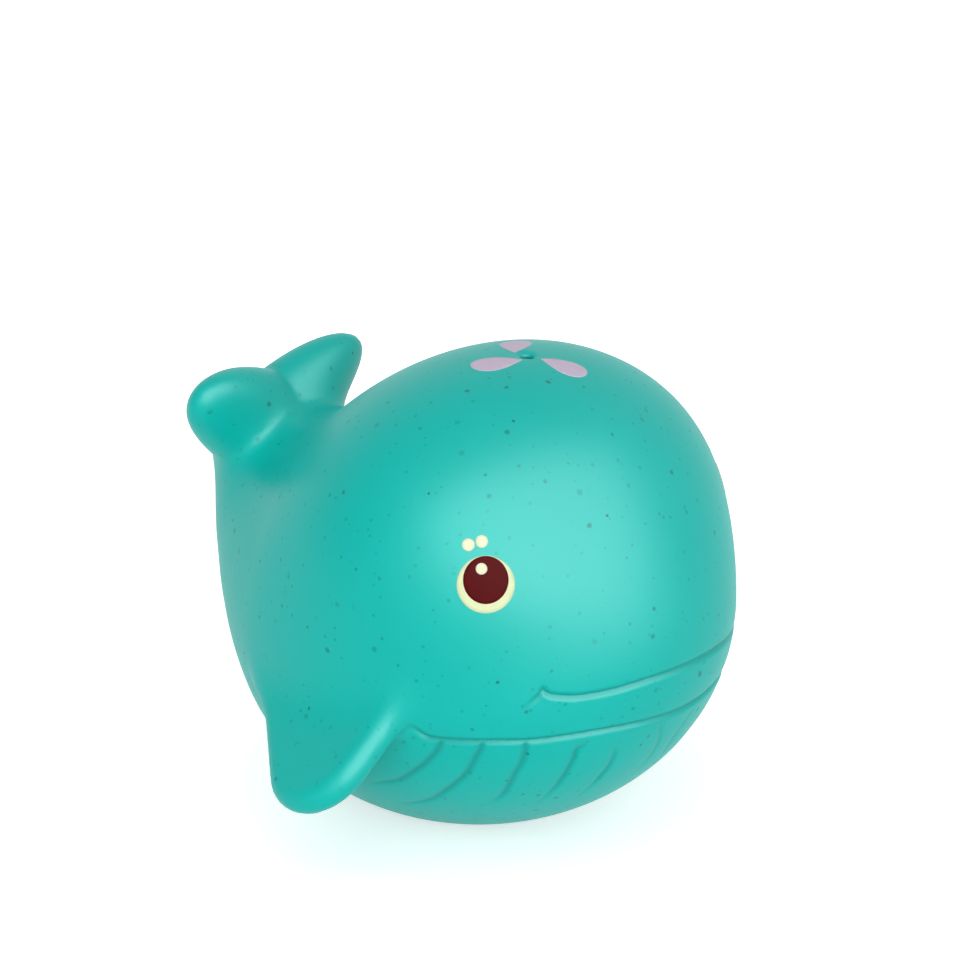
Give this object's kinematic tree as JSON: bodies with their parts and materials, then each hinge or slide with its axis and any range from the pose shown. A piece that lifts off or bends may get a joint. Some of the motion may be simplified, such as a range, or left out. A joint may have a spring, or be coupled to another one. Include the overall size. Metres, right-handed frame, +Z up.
{
  "type": "whale bath squirter with squeaker",
  "caption": "Chubby soft whale for the bath that squirts water through its blowhole and squeaks when squeezed, with printed eyes and petals.",
  "frame": {"origin": "centre of the flat base that the whale stands on", "axes": "+X towards the nose, +Y to the whale's left, +Z up along the blowhole"},
  "size_m": [0.0917, 0.0904, 0.073],
  "materials": {
    "whale_vinyl": "satin soft vinyl with fine dark specks",
    "squeaker_plastic": "natural moulded plastic",
    "reed_film": "clear stiff film",
    "petal_print": "pad-printed lilac",
    "eye_cream": "pad-printed cream",
    "eye_brown": "pad-printed dark brown",
    "eye_pale": "pad-printed pale cream"
  },
  "bodies": {
    "whale": {"whale_body": "whale_vinyl", "squeaker_cup": "squeaker_plastic", "squeaker_reed_bed": "squeaker_plastic", "squeaker_wedge": "squeaker_plastic", "blowhole_petals": "petal_print", "right_eye_white": "eye_cream", "right_eye_iris": "eye_brown", "right_eye_glint": "eye_pale", "right_brow_dots": "eye_pale", "left_eye_white": "eye_cream", "left_eye_iris": "eye_brown", "left_eye_glint": "eye_pale", "left_brow_dots": "eye_pale"},
    "reed": {"squeaker_reed": "reed_film"}
  },
  "joints": [
    {"name": "reed_flutter", "type": "hinge", "parent": "whale", "child": "reed", "pos_m": [0.00052, 0, 0.011], "axis": [0, 1, 0], "range_deg": [-6, 3], "stiffness_Nm_per_rad": 0.002}
  ]
}
